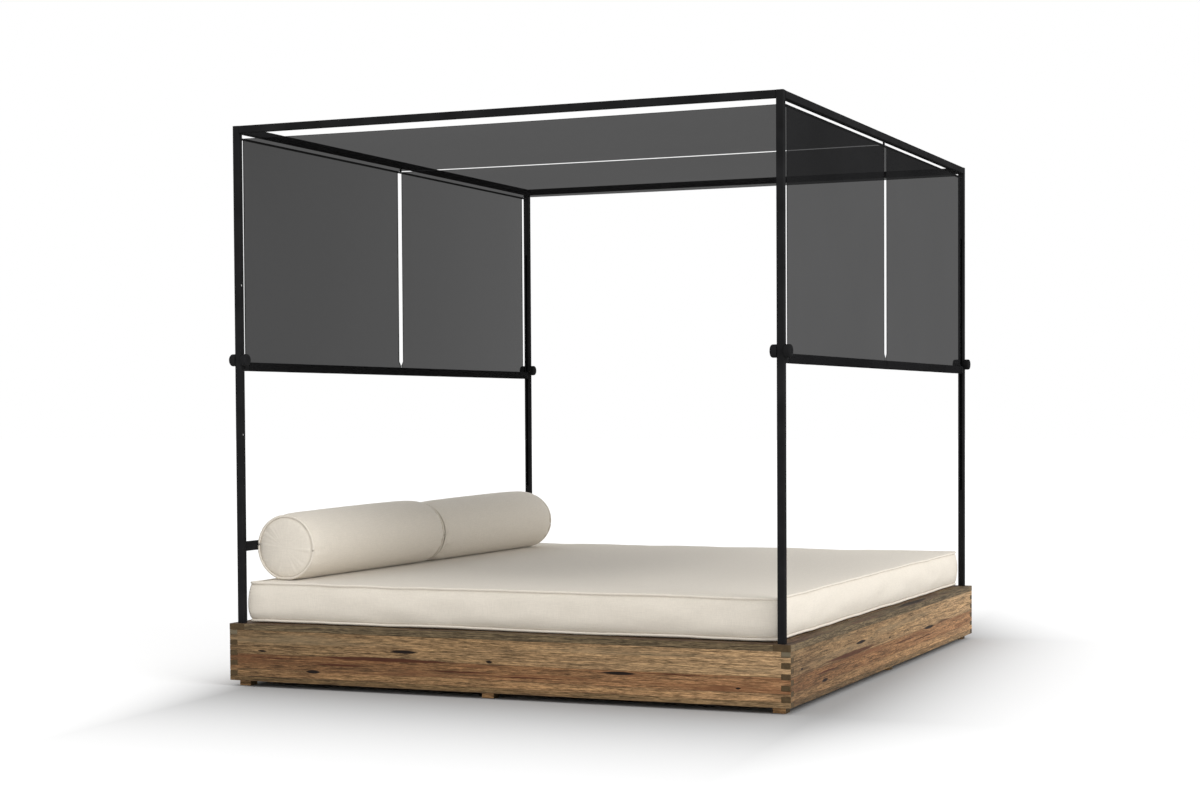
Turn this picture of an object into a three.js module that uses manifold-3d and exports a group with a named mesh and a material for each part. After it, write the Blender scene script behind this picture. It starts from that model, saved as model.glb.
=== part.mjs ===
// Outdoor daybed: timber plinth, piped mattress, two bolsters and a steel canopy frame whose shade
// cloth runs over two rods between height-adjustable side bars. Millimetres, +X right, +Y back, +Z up.

import * as THREE from 'three';
import { mergeVertices } from 'three/addons/utils/BufferGeometryUtils.js';
import Module from 'manifold-3d';

// Fits
const seat_gap = 0.3;
const overcut = 5;

// Mattress bay and plinth
const bay_width = 2000;
const bay_depth = 2400;
const side_ledge = 50;
const end_ledge = 40;
const board_height = 181;
const board_thickness = 32;
const finger_count = 10;
const capping_thickness = 22;
const capping_lap = 10;
const deck_board_count = 6;
const deck_board_gap = 12;
const bearer_width = 45;
const bearer_height = 70;
const foot_height = 21;
const foot_side = 45;
const foot_inset = 25;
const middle_foot_x = -38;
const middle_foot_y = 48;

// Canopy frame
const post_side = 25;
const tube_wall = 2;
const tube_corner = 2.5;
const frame_rise = 1768;
const plate_thickness = 4;
const plate_margin = 6;
const backrest_height = 33;
const backrest_rise = 257;

// Rods, shade cloth and side bars
const rod_radius = 4;
const rod_drop = 14;
const rod_reach = 6;
const hanger_radius = 4;
const cloth_thickness = 1;
const cloth_edge_gap = 30;
const slit_width = 30;
const slit_taper = 16;
const slit_closed_height = 9;
const bar_width = 22;
const bar_height = 29;
const bar_below_pin = 4;
const bar_end_gap = 3;
const bar_plug_length = 40;
const tongue_width = 8;
const tongue_reach = 6.5;
const sleeve_wall = 0.9;
const sleeve_joint_gap = 2;

// Height pins and knobs
const pin_rise = 938.5;
const pin_pitch = 265.5;
const pin_radius = 4;
const slot_width = 9;
const slot_reach_pitches = 2;
const spare_holes_each_way = 1;
const knob_radius = 21.5;
const knob_length = 22;
const knob_round = 7;
const knob_dish_radius = 9;
const knob_dish_depth = 1.5;
const knob_grip = 16;

// Cushions
const piping_radius = 4;
const mattress_clearance = 5;
const mattress_low_seam = 8;
const mattress_high_seam = 142;
const mattress_crown = 5;
const mattress_corner = 15;
const mattress_belly = 5;
const mattress_side_draw = 4;
const bolster_length = 1025;
const bolster_radius = 116;
const bolster_gap = 5;
const bolster_front_clearance = 65;
const bolster_back_clearance = 2;
const bolster_end_crown = 9;
const bolster_waist = 4;
const bolster_swell = 7;

// Side of the mattress between its seams: height, and how much of the belly is missing there
const mattress_belly_shares = [[0.2, 0.45], [0.5, 0], [0.8, 0.45]];
// Top of the mattress: distance in from the seam as a share of the corner, and height of the crown
const mattress_crown_shares = [[0.5, 0.45], [1.2, 0.8], [2.4, 1]];
// End of a bolster: radius, and depth of the crown
const bolster_end_shares = [[0, 0], [0.35, 0.08], [0.62, 0.28], [0.82, 0.6]];
// Body of a bolster: distance along it, and how far it has swollen from the waist
const bolster_body_shares = [[0.05, 0.3], [0.12, 0.7], [0.28, 0.95], [0.5, 1]];

// Facets
const hole_facets = 16;
const rod_facets = 16;
const knob_facets = 28;
const rim_facets = 4;
const slot_end_facets = 8;
const tube_corner_facets = 2;
const wrap_facets = 3;
const bolster_facets = 36;
const mattress_corner_facets = 5;
const mattress_edge_facets = 12;

const wasm = await Module();
wasm.setup();

const coat = { color: 0x1d1d1d, roughness: 0.55, metalness: 0.3 };
const knob_coat = { color: 0x191919, roughness: 0.6, metalness: 0 };
const wood = { color: 0x9b7a57, roughness: 0.75, metalness: 0 };
const capping_wood = { color: 0x6b5a42, roughness: 0.8, metalness: 0 };
const inner_wood = { color: 0x8c7254, roughness: 0.8, metalness: 0 };
const shade = { color: 0x2b2b2b, roughness: 0.9, metalness: 0 };
const cover = { color: 0xcfc7ba, roughness: 0.95, metalness: 0 };

const base = new THREE.Group();
const frame = new THREE.Group();
const sunshade = new THREE.Group();
const cushions = new THREE.Group();
const daybed = new THREE.Group();
daybed.add(base, frame, sunshade, cushions);

function addPiece(group, name, geometry, finish, x = 0, y = 0, z = 0) {
  const mesh = new THREE.Mesh(geometry, new THREE.MeshStandardMaterial(finish));
  mesh.name = name;
  mesh.position.set(x, y, z);
  group.add(mesh);
}

// Heights and places that several pieces share
const plinth_half_width = bay_width / 2 + side_ledge;
const plinth_half_depth = bay_depth / 2 + end_ledge;
const board_top = foot_height + board_height;
const deck_top = board_top + capping_thickness;
const bearer_top = board_top - seat_gap;
const board_inner_x = plinth_half_width - board_thickness;
const board_inner_y = plinth_half_depth - board_thickness;
const post_x = bay_width / 2 + post_side / 2;
const post_y = bay_depth / 2 + post_side / 2;
const post_foot = board_top + seat_gap;
const frame_top = deck_top + frame_rise;
const rod_height = frame_top - post_side - rod_drop - rod_radius;
const pin_height = deck_top + pin_rise;
const bar_centre = pin_height - pin_radius - bar_below_pin - bar_height / 2;
const sleeve_reach = sleeve_wall + seat_gap;
const cloth_half_depth = bay_depth / 2 - cloth_edge_gap;

const sides = [['left', -1], ['right', 1]];
const ends = [['front', -1], ['rear', 1]];

// Closed solids for joining and cutting
function solidOf(geometry) {
  const bare = geometry.clone();
  bare.deleteAttribute('normal');
  bare.deleteAttribute('uv');
  const merged = mergeVertices(bare);
  return new wasm.Manifold(new wasm.Mesh({
    numProp: 3,
    vertProperties: new Float32Array(merged.attributes.position.array),
    triVerts: new Uint32Array(merged.index.array),
  }));
}

function geometryOf(solid) {
  const mesh = solid.getMesh();
  const geometry = new THREE.BufferGeometry();
  geometry.setAttribute('position', new THREE.BufferAttribute(new Float32Array(mesh.vertProperties), 3));
  geometry.setIndex(new THREE.BufferAttribute(new Uint32Array(mesh.triVerts), 1));
  geometry.computeVertexNormals();
  return geometry;
}

// A box given by its lowest and highest corner
function boxBetween(low, high) {
  const box = new THREE.BoxGeometry(high[0] - low[0], high[1] - low[1], high[2] - low[2]);
  return box.translate((low[0] + high[0]) / 2, (low[1] + high[1]) / 2, (low[2] + high[2]) / 2);
}

// A box on one side of the middle, from a near to a far distance along X and Y
function boxOnSide(sx, sy, near, far, bottom, top) {
  const xs = [sx * near[0], sx * far[0]].sort((a, b) => a - b);
  const ys = [sy * near[1], sy * far[1]].sort((a, b) => a - b);
  return boxBetween([xs[0], ys[0], bottom], [xs[1], ys[1], top]);
}

function cylinderAlong(axis, radius, length, facets) {
  const cylinder = new THREE.CylinderGeometry(radius, radius, length, facets);
  if (axis === 'x') cylinder.rotateZ(-Math.PI / 2);
  if (axis === 'z') cylinder.rotateX(Math.PI / 2);
  return cylinder;
}

// Rectangle with round corners; its straight edges may be divided and drawn in between the corners
function roundedRectangle(half_width, half_height, radius, corner_facets, edge_facets = 1, draw = 0) {
  const u = half_width - radius;
  const v = half_height - radius;
  const centres = [[u, v], [-u, v], [-u, -v], [u, -v]];
  const points = [];
  centres.forEach(([cu, cv], quarter) => {
    for (let i = 0; i <= corner_facets; i += 1) {
      const angle = (quarter + i / corner_facets) * Math.PI / 2;
      points.push([cu + radius * Math.cos(angle), cv + radius * Math.sin(angle)]);
    }
    const [next_u, next_v] = centres[(quarter + 1) % centres.length];
    const facing = (quarter + 1) * Math.PI / 2;
    for (let i = 1; i < edge_facets; i += 1) {
      const share = i / edge_facets;
      const out = radius - draw * Math.sin(Math.PI * share);
      points.push([
        cu + (next_u - cu) * share + out * Math.cos(facing),
        cv + (next_v - cv) * share + out * Math.sin(facing),
      ]);
    }
  });
  return points;
}

function vectors(points) {
  return points.map(([u, v]) => new THREE.Vector2(u, v));
}

// Outline in X and Z, extruded along +Y from y = start
function extrudeAlongY(shape, length, start) {
  const geometry = new THREE.ExtrudeGeometry(shape, { depth: length, bevelEnabled: false });
  geometry.rotateX(Math.PI / 2);
  return geometry.translate(0, start + length, 0);
}

// Outline in Y and Z, extruded along +X from x = start
function extrudeAlongX(shape, length, start) {
  const geometry = new THREE.ExtrudeGeometry(shape, { depth: length, bevelEnabled: false });
  geometry.rotateX(Math.PI / 2);
  geometry.rotateZ(Math.PI / 2);
  return geometry.translate(start, 0, 0);
}

// Section of a box tube, open or with its bore cut out
function tubeSection(width, height, corner, wall) {
  const outline = new THREE.Shape(vectors(roundedRectangle(width / 2, height / 2, corner, tube_corner_facets)));
  const u = width / 2 - wall;
  const v = height / 2 - wall;
  outline.holes.push(new THREE.Path(vectors([[u, v], [-u, v], [-u, -v], [u, -v]])));
  return outline;
}

function boxTube(width, height, wall, length) {
  return extrudeAlongY(tubeSection(width, height, tube_corner, wall), length, -length / 2);
}

// Finger joint: both ends of a board step in and out, one step for each finger
function fingerOutline(half_length, owns_first) {
  const step = board_height / finger_count;
  const notch = half_length - board_thickness - seat_gap;
  const points = [];
  for (let i = 0; i < finger_count; i += 1) {
    const owned = (i % 2 === 0) === owns_first;
    const reach = owned ? half_length : notch;
    const slack = owned ? seat_gap / 2 : -seat_gap / 2;
    const low = i === 0 ? 0 : i * step + slack;
    const high = i === finger_count - 1 ? board_height : (i + 1) * step - slack;
    points.push([reach, low], [reach, high]);
  }
  const mirrored = points.map(([u, v]) => [-u, v]).reverse();
  return new THREE.Shape(vectors([...points, ...mirrored]));
}

function addPlinthBoards() {
  const end_outline = fingerOutline(plinth_half_width, true);
  const side_outline = fingerOutline(plinth_half_depth, false);
  for (const [end, sy] of ends) {
    const start = sy < 0 ? -plinth_half_depth : board_inner_y;
    const board = extrudeAlongY(end_outline, board_thickness, start);
    addPiece(base, `plinth_board_${end}`, board, wood, 0, 0, foot_height);
  }
  for (const [side, sx] of sides) {
    const start = sx < 0 ? -plinth_half_width : board_inner_x;
    const board = extrudeAlongX(side_outline, board_thickness, start);
    addPiece(base, `plinth_board_${side}`, board, wood, 0, 0, foot_height);
  }
}

// Foot: a block under the boards that goes on up behind them to carry a bearer
function footGeometry(clip_x, clip_y) {
  const half = foot_side / 2;
  const behind = Math.min(half, half - (board_thickness - foot_inset) - seat_gap);
  const low = [clip_x < 0 ? -behind : -half, clip_y < 0 ? -behind : -half, 0];
  const top = bearer_top - bearer_height - seat_gap;
  const high = [clip_x > 0 ? behind : half, clip_y > 0 ? behind : half, top];
  const block = solidOf(boxBetween([-half, -half, 0], [half, half, foot_height - seat_gap]));
  return geometryOf(block.add(solidOf(boxBetween(low, high))));
}

function addFeet() {
  const foot_x = plinth_half_width - foot_inset - foot_side / 2;
  const foot_y = plinth_half_depth - foot_inset - foot_side / 2;
  for (const [end, sy] of ends) {
    for (const [side, sx] of sides) {
      addPiece(base, `foot_${end}_${side}`, footGeometry(sx, sy), wood, sx * foot_x, sy * foot_y);
    }
    addPiece(base, `foot_${end}_middle`, footGeometry(0, sy), wood, middle_foot_x, sy * foot_y);
  }
  for (const [side, sx] of sides) {
    addPiece(base, `foot_${side}_middle`, footGeometry(sx, 0), wood, sx * foot_x, middle_foot_y);
  }
}

// Foot plate of a post, let into the underside of the side capping
function plateBox(sx, sy, slack) {
  const near = [bay_width / 2 + seat_gap - slack, bay_depth / 2 + seat_gap - slack];
  const far = [plinth_half_width - plate_margin + slack, plinth_half_depth - plate_margin + slack];
  return boxOnSide(sx, sy, near, far, post_foot - slack, post_foot + plate_thickness + slack);
}

// Capping: side boards run the whole depth and hold the posts, end boards fit between them
function addCapping() {
  const inner_x = bay_width / 2 - capping_lap;
  const inner_y = bay_depth / 2 - capping_lap;
  const hole = post_side / 2 + seat_gap;
  for (const [end, sy] of ends) {
    const low = [-(inner_x - seat_gap), sy < 0 ? -plinth_half_depth : inner_y, post_foot];
    const high = [inner_x - seat_gap, sy < 0 ? -inner_y : plinth_half_depth, deck_top];
    addPiece(base, `capping_${end}`, boxBetween(low, high), capping_wood);
  }
  for (const [side, sx] of sides) {
    const low = [sx < 0 ? -plinth_half_width : inner_x, -plinth_half_depth, post_foot];
    const high = [sx < 0 ? -inner_x : plinth_half_width, plinth_half_depth, deck_top];
    let board = solidOf(boxBetween(low, high));
    for (const [, sy] of ends) {
      const near = [post_x - hole, post_y - hole];
      const far = [post_x + hole, post_y + hole];
      board = board.subtract(solidOf(boxOnSide(sx, sy, near, far, post_foot - overcut, deck_top + overcut)));
      board = board.subtract(solidOf(plateBox(sx, sy, seat_gap)));
    }
    addPiece(base, `capping_${side}`, geometryOf(board), capping_wood);
  }
}

// Deck boards lie across three bearers, level with the capping
function addDeck() {
  const deck_width = bay_width - 2 * (capping_lap + seat_gap);
  const deck_depth = bay_depth - 2 * (capping_lap + seat_gap);
  const board_width = (deck_depth - (deck_board_count - 1) * deck_board_gap) / deck_board_count;
  const board = new THREE.BoxGeometry(deck_width, board_width, capping_thickness);
  for (let i = 0; i < deck_board_count; i += 1) {
    const y = (board_width - deck_depth) / 2 + i * (board_width + deck_board_gap);
    addPiece(base, `deck_board_${i + 1}`, board, inner_wood, 0, y, deck_top - capping_thickness / 2);
  }
  const bearer = new THREE.BoxGeometry(bearer_width, 2 * (board_inner_y - seat_gap), bearer_height);
  const bearer_x = board_inner_x - seat_gap - bearer_width / 2;
  const bearer_z = bearer_top - bearer_height / 2;
  for (const [side, sx] of sides) {
    addPiece(base, `bearer_${side}`, bearer, inner_wood, sx * bearer_x, 0, bearer_z);
  }
  addPiece(base, 'centre_beam', bearer, inner_wood, middle_foot_x, 0, bearer_z);
}

// Slot with round ends through the inner wall of a post
function slotCutter(sx, sy) {
  const half = slot_reach_pitches * pin_pitch;
  const outline = new THREE.Shape();
  outline.absarc(0, half - slot_width / 2, slot_width / 2, 0, Math.PI, false);
  outline.absarc(0, slot_width / 2 - half, slot_width / 2, Math.PI, 2 * Math.PI, false);
  const wall_face = post_y - post_side / 2;
  const near = wall_face - overcut;
  const far = wall_face + tube_wall + overcut;
  const depth = far - near;
  const slab = new THREE.ExtrudeGeometry(outline,
    { depth, bevelEnabled: false, curveSegments: slot_end_facets / 2 });
  slab.rotateX(Math.PI / 2);
  return slab.translate(sx * post_x, sy < 0 ? -near : far, pin_height);
}

function postSolid(sx, sy) {
  const half = post_side / 2;
  const cavity = half - tube_wall;
  const x = sx * post_x;
  const y = sy * post_y;
  const section = new THREE.Shape(vectors(roundedRectangle(half, half, tube_corner, tube_corner_facets)));
  const shaft = new THREE.ExtrudeGeometry(section, { depth: frame_top - post_foot, bevelEnabled: false });
  let post = solidOf(shaft.translate(x, y, post_foot));
  post = post.add(solidOf(plateBox(sx, sy, 0)));
  const bore_low = [x - cavity, y - cavity, post_foot + plate_thickness];
  const bore_high = [x + cavity, y + cavity, frame_top - tube_wall];
  post = post.subtract(solidOf(boxBetween(bore_low, bore_high)));
  post = post.subtract(solidOf(slotCutter(sx, sy)));
  const rod_hole = cylinderAlong('y', rod_radius + seat_gap, post_side, rod_facets);
  post = post.subtract(solidOf(rod_hole.translate(x, y - sy * half, rod_height)));
  const pin_hole = cylinderAlong('x', pin_radius + seat_gap, post_side + 2 * overcut, hole_facets);
  for (let i = -spare_holes_each_way; i <= spare_holes_each_way; i += 1) {
    const hole = pin_hole.clone().translate(x, y, pin_height + i * pin_pitch);
    post = post.subtract(solidOf(hole));
  }
  return post;
}

function addFrame() {
  const rail_centre = frame_top - post_side / 2;
  const side_length = bay_depth - 2 * seat_gap;
  for (const [end, sy] of ends) {
    for (const [side, sx] of sides) {
      addPiece(frame, `post_${end}_${side}`, geometryOf(postSolid(sx, sy)), coat);
    }
    const cross = boxTube(post_side, post_side, tube_wall, bay_width - 2 * seat_gap).rotateZ(Math.PI / 2);
    addPiece(frame, `top_rail_${end}`, cross, coat, 0, sy * post_y, rail_centre);
  }
  for (const [side, sx] of sides) {
    const rail = boxTube(post_side, post_side, tube_wall, side_length);
    addPiece(frame, `top_rail_${side}`, rail, coat, sx * post_x, 0, rail_centre);
  }
  const backrest = boxTube(post_side, backrest_height, tube_wall, side_length);
  const backrest_centre = deck_top + backrest_rise + backrest_height / 2;
  addPiece(frame, 'backrest_rail', backrest, coat, -post_x, 0, backrest_centre);
}

// Rod with the short stud at its middle that hangs it from the top rail
function addRods() {
  const stud_length = frame_top - post_side - seat_gap - rod_height;
  const rod = solidOf(cylinderAlong('y', rod_radius, bay_depth + 2 * rod_reach, rod_facets));
  const stud = cylinderAlong('z', hanger_radius, stud_length, hole_facets).translate(0, 0, stud_length / 2);
  const geometry = geometryOf(rod.add(solidOf(stud)));
  for (const [side, sx] of sides) addPiece(frame, `rod_${side}`, geometry, coat, sx * post_x, 0, rod_height);
}

// Line from the outside of the right rod over its top, across, and down over the left rod
function archOverRods(radius) {
  const right = [];
  for (let i = 0; i <= wrap_facets; i += 1) {
    const angle = (i / wrap_facets) * Math.PI / 2;
    right.push([post_x + radius * Math.cos(angle), radius * Math.sin(angle)]);
  }
  const left = right.map(([u, v]) => [-u, v]).reverse();
  return [...right, ...left];
}

function ceilingShape() {
  const under = archOverRods(rod_radius + seat_gap);
  const over = archOverRods(rod_radius + seat_gap + cloth_thickness);
  return new THREE.Shape(vectors([...over, ...under.reverse()]));
}

// Side drop: near the bar the slit narrows to the joint of the two hems
function dropShape(sy, low, high) {
  const outer = sy * cloth_half_depth;
  const slit = sy * slit_width / 2;
  const joint = sy * sleeve_joint_gap / 2;
  const closed = low + slit_closed_height;
  return new THREE.Shape(vectors([
    [outer, low], [joint, low], [joint, closed], [slit, closed + slit_taper], [slit, high], [outer, high],
  ]));
}

function addCloth() {
  const strip_width = cloth_half_depth - slit_width / 2;
  const drop_low = bar_centre + bar_height / 2 + sleeve_reach + seat_gap;
  const drop_high = rod_height - seat_gap;
  const drop_x = post_x + rod_radius + seat_gap;
  for (const [end, sy] of ends) {
    const start = sy < 0 ? -cloth_half_depth : slit_width / 2;
    const ceiling = extrudeAlongY(ceilingShape(), strip_width, start);
    addPiece(sunshade, `ceiling_cloth_${end}`, ceiling, shade, 0, 0, rod_height);
    for (const [side, sx] of sides) {
      const near = sx < 0 ? -drop_x - cloth_thickness : drop_x;
      const drop = extrudeAlongX(dropShape(sy, drop_low, drop_high), cloth_thickness, near);
      addPiece(sunshade, `drop_cloth_${side}_${end}`, drop, shade);
    }
  }
}

// Side bar: a tube with flat tongues that run in the post slots, each stopped by its pin from below
function barGeometry() {
  const tube_half = bay_depth / 2 - bar_end_gap;
  const tongue_end = bay_depth / 2 + tongue_reach;
  const half_width = tongue_width / 2;
  const stop_top = bar_height / 2 + bar_below_pin - seat_gap;
  let bar = solidOf(boxTube(bar_width, bar_height, tube_wall, 2 * tube_half));
  for (const [, sy] of ends) {
    const plug = boxOnSide(1, sy, [-half_width, tube_half - bar_plug_length], [half_width, tongue_end],
      -bar_height / 2, bar_height / 2);
    const stop = boxOnSide(1, sy, [-half_width, tube_half], [half_width, tongue_end],
      -bar_height / 2, stop_top);
    bar = bar.add(solidOf(plug)).add(solidOf(stop));
  }
  return geometryOf(bar);
}

function addBars() {
  const bar = barGeometry();
  const sleeve_length = cloth_half_depth - sleeve_joint_gap / 2;
  const sleeve = boxTube(bar_width + 2 * sleeve_reach, bar_height + 2 * sleeve_reach, sleeve_wall, sleeve_length);
  for (const [side, sx] of sides) {
    addPiece(sunshade, `bar_${side}`, bar, coat, sx * post_x, 0, bar_centre);
    for (const [end, sy] of ends) {
      const y = sy * (cloth_half_depth - sleeve_length / 2);
      addPiece(sunshade, `hem_sleeve_${side}_${end}`, sleeve, shade, sx * post_x, y, bar_centre);
    }
  }
}

// Rounded rim and dished face of a knob, as radius and distance along its axis
function knobFace(face) {
  const points = [];
  for (let i = 0; i <= rim_facets; i += 1) {
    const angle = (i / rim_facets) * Math.PI / 2;
    const radius = knob_radius - knob_round + knob_round * Math.cos(angle);
    points.push([radius, face - knob_round + knob_round * Math.sin(angle)]);
  }
  points.push([knob_dish_radius, face], [knob_dish_radius - knob_dish_depth, face - knob_dish_depth]);
  points.push([0, face - knob_dish_depth]);
  return points;
}

function turnedAlongX(points, flip) {
  const piece = new THREE.LatheGeometry(vectors(points), knob_facets);
  return piece.rotateZ(flip ? Math.PI / 2 : -Math.PI / 2);
}

// Each height pin has a fixed knob outside the post and a screwed knob inside it
function addPins() {
  const face = post_side / 2 + seat_gap;
  const outer_face = knobFace(face + knob_length);
  const pin_end = -face - knob_grip;
  const pin = [[0, pin_end], [pin_radius, pin_end], [pin_radius, face], [knob_radius, face], ...outer_face];
  const bore = pin_radius + seat_gap;
  const bore_end = face + knob_grip + seat_gap;
  const knob = [[0, bore_end], [bore, bore_end], [bore, face], [knob_radius, face], ...outer_face];
  for (const [end, sy] of ends) {
    for (const [side, sx] of sides) {
      const place = [sx * post_x, sy * post_y, pin_height];
      addPiece(sunshade, `pin_${end}_${side}`, turnedAlongX(pin, sx < 0), knob_coat, ...place);
      addPiece(sunshade, `knob_${end}_${side}`, turnedAlongX(knob, sx > 0), knob_coat, ...place);
    }
  }
}

// Closed skin through a stack of rings with equal point counts, with a fan at each end
function skinThrough(rings) {
  const count = rings[0].points.length;
  const positions = [];
  const index = [];
  for (const ring of rings) for (const [x, y] of ring.points) positions.push(x, y, ring.z);
  for (let r = 0; r + 1 < rings.length; r += 1) {
    for (let i = 0; i < count; i += 1) {
      const a = r * count + i;
      const b = r * count + (i + 1) % count;
      index.push(a, b, b + count, a, b + count, a + count);
    }
  }
  const bottom = positions.length / 3;
  const last = (rings.length - 1) * count;
  positions.push(0, 0, rings[0].z, 0, 0, rings[rings.length - 1].z);
  for (let i = 0; i < count; i += 1) {
    const next = (i + 1) % count;
    index.push(bottom, next, i, bottom + 1, last + i, last + next);
  }
  const geometry = new THREE.BufferGeometry();
  geometry.setAttribute('position', new THREE.Float32BufferAttribute(positions, 3));
  geometry.setIndex(index);
  geometry.computeVertexNormals();
  return geometry;
}

// Mattress: a bead of piping along both seams, a belly between them and a crown on top
function addMattress() {
  const half_width = bay_width / 2 - mattress_clearance;
  const half_depth = bay_depth / 2 - mattress_clearance;
  const belly = mattress_belly;
  const piping = piping_radius;
  const bead = (seam) => [[belly + piping, seam - piping], [belly - piping, seam], [belly + piping, seam + piping]];
  const side_height = mattress_high_seam - mattress_low_seam;
  const steps = [[belly + 3 * piping, 0], ...bead(mattress_low_seam)];
  for (const [height, missing] of mattress_belly_shares) {
    steps.push([belly * missing, mattress_low_seam + side_height * height]);
  }
  steps.push(...bead(mattress_high_seam));
  for (const [inward, height] of mattress_crown_shares) {
    steps.push([belly + piping + mattress_corner * inward, mattress_high_seam + piping + mattress_crown * height]);
  }
  const rings = steps.map(([margin, z]) => {
    const corner = mattress_corner * mattress_corner / (mattress_corner + margin);
    const points = roundedRectangle(half_width - margin, half_depth - margin, corner,
      mattress_corner_facets, mattress_edge_facets, mattress_side_draw);
    return { z, points };
  });
  addPiece(cushions, 'mattress', skinThrough(rings), cover, 0, 0, deck_top + seat_gap);
}

// First half of a bolster, from the middle of its end face to the middle of its body
function bolsterHalf() {
  const rim = bolster_radius - 2 * piping_radius;
  const points = bolster_end_shares.map(([radius, depth]) => [rim * radius, bolster_end_crown * depth]);
  points.push([rim, bolster_end_crown], [bolster_radius, bolster_end_crown + piping_radius]);
  points.push([bolster_radius - bolster_waist, bolster_end_crown + 2 * piping_radius]);
  for (const [along, swell] of bolster_body_shares) {
    const radius = bolster_radius - bolster_waist + (bolster_waist + bolster_swell) * swell;
    points.push([radius, bolster_length * along]);
  }
  return points;
}

// Where it has swollen past its piping, a bolster moves up and inward: it lies on the mattress and
// leans on the backrest rail along its whole length
function settled(bolster) {
  const places = bolster.getAttribute('position');
  for (let i = 0; i < places.count; i += 1) {
    const shift = Math.max(0, Math.hypot(places.getX(i), places.getZ(i)) - bolster_radius);
    places.setX(i, places.getX(i) + shift);
    places.setZ(i, places.getZ(i) + shift);
  }
  return bolster;
}

function addBolsters() {
  const half = bolsterHalf();
  const other_half = half.slice(0, -1).reverse().map(([radius, along]) => [radius, bolster_length - along]);
  const bolster = settled(new THREE.LatheGeometry(vectors([...half, ...other_half]), bolster_facets));
  const mattress_top = deck_top + seat_gap + mattress_high_seam + piping_radius + mattress_crown;
  const x = -bay_width / 2 + bolster_back_clearance + bolster_radius;
  const z = mattress_top + seat_gap + bolster_radius;
  const front = -bay_depth / 2 + bolster_front_clearance;
  addPiece(cushions, 'bolster_front', bolster, cover, x, front, z);
  addPiece(cushions, 'bolster_rear', bolster, cover, x, front + bolster_length + bolster_gap, z);
}

addPlinthBoards();
addFeet();
addCapping();
addDeck();
addFrame();
addRods();
addCloth();
addBars();
addPins();
addMattress();
addBolsters();

export default daybed;
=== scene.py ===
import math
from functools import reduce

import bpy
from mathutils import Euler, Matrix, Vector, noise


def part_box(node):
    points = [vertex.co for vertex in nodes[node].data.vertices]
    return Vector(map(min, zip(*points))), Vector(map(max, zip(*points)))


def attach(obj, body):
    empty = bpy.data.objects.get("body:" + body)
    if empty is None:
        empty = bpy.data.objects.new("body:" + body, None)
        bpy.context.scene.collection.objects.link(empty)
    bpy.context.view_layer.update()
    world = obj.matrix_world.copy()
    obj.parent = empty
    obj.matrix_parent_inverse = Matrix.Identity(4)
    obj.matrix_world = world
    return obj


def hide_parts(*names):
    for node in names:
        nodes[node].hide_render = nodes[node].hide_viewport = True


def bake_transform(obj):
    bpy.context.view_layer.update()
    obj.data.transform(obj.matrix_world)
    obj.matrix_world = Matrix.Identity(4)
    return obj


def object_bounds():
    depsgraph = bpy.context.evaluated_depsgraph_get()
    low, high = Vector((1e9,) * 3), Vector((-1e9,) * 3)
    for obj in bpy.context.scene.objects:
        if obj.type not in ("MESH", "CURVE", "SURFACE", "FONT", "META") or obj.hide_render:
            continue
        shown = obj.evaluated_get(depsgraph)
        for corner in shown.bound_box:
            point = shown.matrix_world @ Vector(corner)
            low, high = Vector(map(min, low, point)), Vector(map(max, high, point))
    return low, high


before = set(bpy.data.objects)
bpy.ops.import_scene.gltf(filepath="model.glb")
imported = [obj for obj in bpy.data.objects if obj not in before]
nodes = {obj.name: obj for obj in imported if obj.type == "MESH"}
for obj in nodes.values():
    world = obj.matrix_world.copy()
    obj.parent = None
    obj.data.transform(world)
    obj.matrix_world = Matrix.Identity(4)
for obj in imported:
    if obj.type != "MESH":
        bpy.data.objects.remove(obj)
cad_low, cad_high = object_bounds()
collection = bpy.context.scene.collection

SIDES = (("left", -1), ("right", 1))
ENDS = (("front", -1), ("rear", 1))

# Camera, in metres, degrees and pixels of the 1200 x 799 picture
PICTURE_WIDTH = 1200
PICTURE_HEIGHT = 799
CAMERA_PLACE = (3.1627, -7.7279, 0.9719)
CAMERA_TURN = 23.124
CAMERA_TILT = -1.829
CAMERA_ROLL = -0.323
FOCAL_PIXELS = 2138.7
HORIZON_PIXEL = 480
SENSOR_WIDTH = 36
CAMERA_CLIP = 100


def make_camera():
    data = bpy.data.cameras.new("camera")
    data.sensor_width = SENSOR_WIDTH
    data.lens = FOCAL_PIXELS * SENSOR_WIDTH / PICTURE_WIDTH
    data.shift_y = (HORIZON_PIXEL - PICTURE_HEIGHT / 2) / PICTURE_WIDTH
    data.clip_end = CAMERA_CLIP
    camera = bpy.data.objects.new("camera", data)
    collection.objects.link(camera)
    turn = Euler((math.radians(90 + CAMERA_TILT), 0, math.radians(CAMERA_TURN)))
    roll = Matrix.Rotation(math.radians(CAMERA_ROLL), 4, "Z")
    camera.matrix_world = Matrix.Translation(CAMERA_PLACE) @ turn.to_matrix().to_4x4() @ roll
    bpy.context.scene.camera = camera


# Node trees

# Numbers of the colour mix's sockets: factor, both colours and result
MIX_INPUTS = (0, 6, 7)
MIX_RESULT = 2


def rgba(color):
    """Four numbers from a grey level or a colour of three; a socket stays as it is."""
    if isinstance(color, (int, float)):
        return (color, color, color, 1)
    if isinstance(color, tuple) and len(color) == 3:
        return (*color, 1)
    return color


def shaded(color, factor):
    return tuple(channel * factor for channel in color)


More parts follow.
